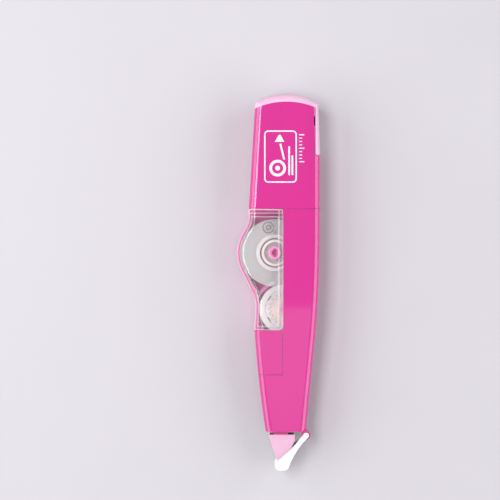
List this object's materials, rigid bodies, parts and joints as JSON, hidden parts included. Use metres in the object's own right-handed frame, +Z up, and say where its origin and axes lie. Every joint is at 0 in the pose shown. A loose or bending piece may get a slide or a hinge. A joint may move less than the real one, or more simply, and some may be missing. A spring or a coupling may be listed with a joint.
{
  "type": "correction tape roller",
  "caption": "Pen-shaped correction tape dispenser: pink shells, sliding rear cap with clip, slide-out clear refill with geared reels, angled head and swinging head cover.",
  "frame": {"origin": "on the resting plane, where the axis of the tape roll meets the flat back face", "axes": "+Y along the tool towards the rear cap, +X towards the clip side, +Z up, away from the back face it rests on"},
  "size_m": [0.0259, 0.1179, 0.014],
  "materials": {
    "pink": "gloss",
    "pale_pink": "gloss",
    "pale_head": "satin",
    "clear": "gloss",
    "white": "satin",
    "cream": "satin",
    "peach": "satin",
    "tape": "matt",
    "film": "satin",
    "cover_white": "satin"
  },
  "bodies": {
    "body": {"front_shell": "pink", "back_shell": "pink", "cover_pin": "cover_white"},
    "rear_cap": {"rear_cap": "pink", "clip_end": "pale_pink"},
    "refill": {"case_front": "clear", "case_back": "pink", "grip_panel": "pink", "head_holder": "pink", "head": "pale_head", "tape_fresh_run": "tape", "tape_return_run": "film"},
    "supply_drive": {"supply_gear": "pale_pink", "clutch_ring": "cream"},
    "supply_reel": {"supply_core": "white", "tape_roll": "tape"},
    "idler": {"idler_gear": "cream"},
    "takeup_reel": {"takeup_gear": "peach", "takeup_spool": "white", "takeup_flange": "white", "used_film": "film"},
    "head_cover": {"head_cover": "cover_white"}
  },
  "joints": [
    {"name": "cap_slide", "type": "slide", "parent": "body", "child": "rear_cap", "axis": [0, 1, 0], "range_m": [0, 0.026]},
    {"name": "refill_slide", "type": "slide", "parent": "body", "child": "refill", "axis": [-1, 0, 0], "range_m": [0, 0.028]},
    {"name": "supply_spin", "type": "hinge", "parent": "refill", "child": "supply_drive", "pos_m": [0, 0, 0.007], "axis": [0, 0, 1], "continuous": true},
    {"name": "clutch_slip", "type": "hinge", "parent": "supply_drive", "child": "supply_reel", "pos_m": [0, 0, 0.007], "axis": [0, 0, 1], "continuous": true},
    {"name": "idler_spin", "type": "hinge", "parent": "refill", "child": "idler", "pos_m": [0.00664, -0.01117, 0.003], "axis": [0, 0, 1], "continuous": true},
    {"name": "takeup_spin", "type": "hinge", "parent": "refill", "child": "takeup_reel", "pos_m": [0.00286, -0.01765, 0.007], "axis": [0, 0, 1], "continuous": true},
    {"name": "cover_swing", "type": "hinge", "parent": "body", "child": "head_cover", "pos_m": [0.0098, -0.05725, 0.007], "axis": [0, 0, 1], "range_deg": [0, 135]}
  ],
  "couplings": [
    {"joint": "idler_spin", "follows": "supply_spin", "ratio": -3.3333},
    {"joint": "takeup_spin", "follows": "supply_spin", "ratio": 2.2222}
  ]
}
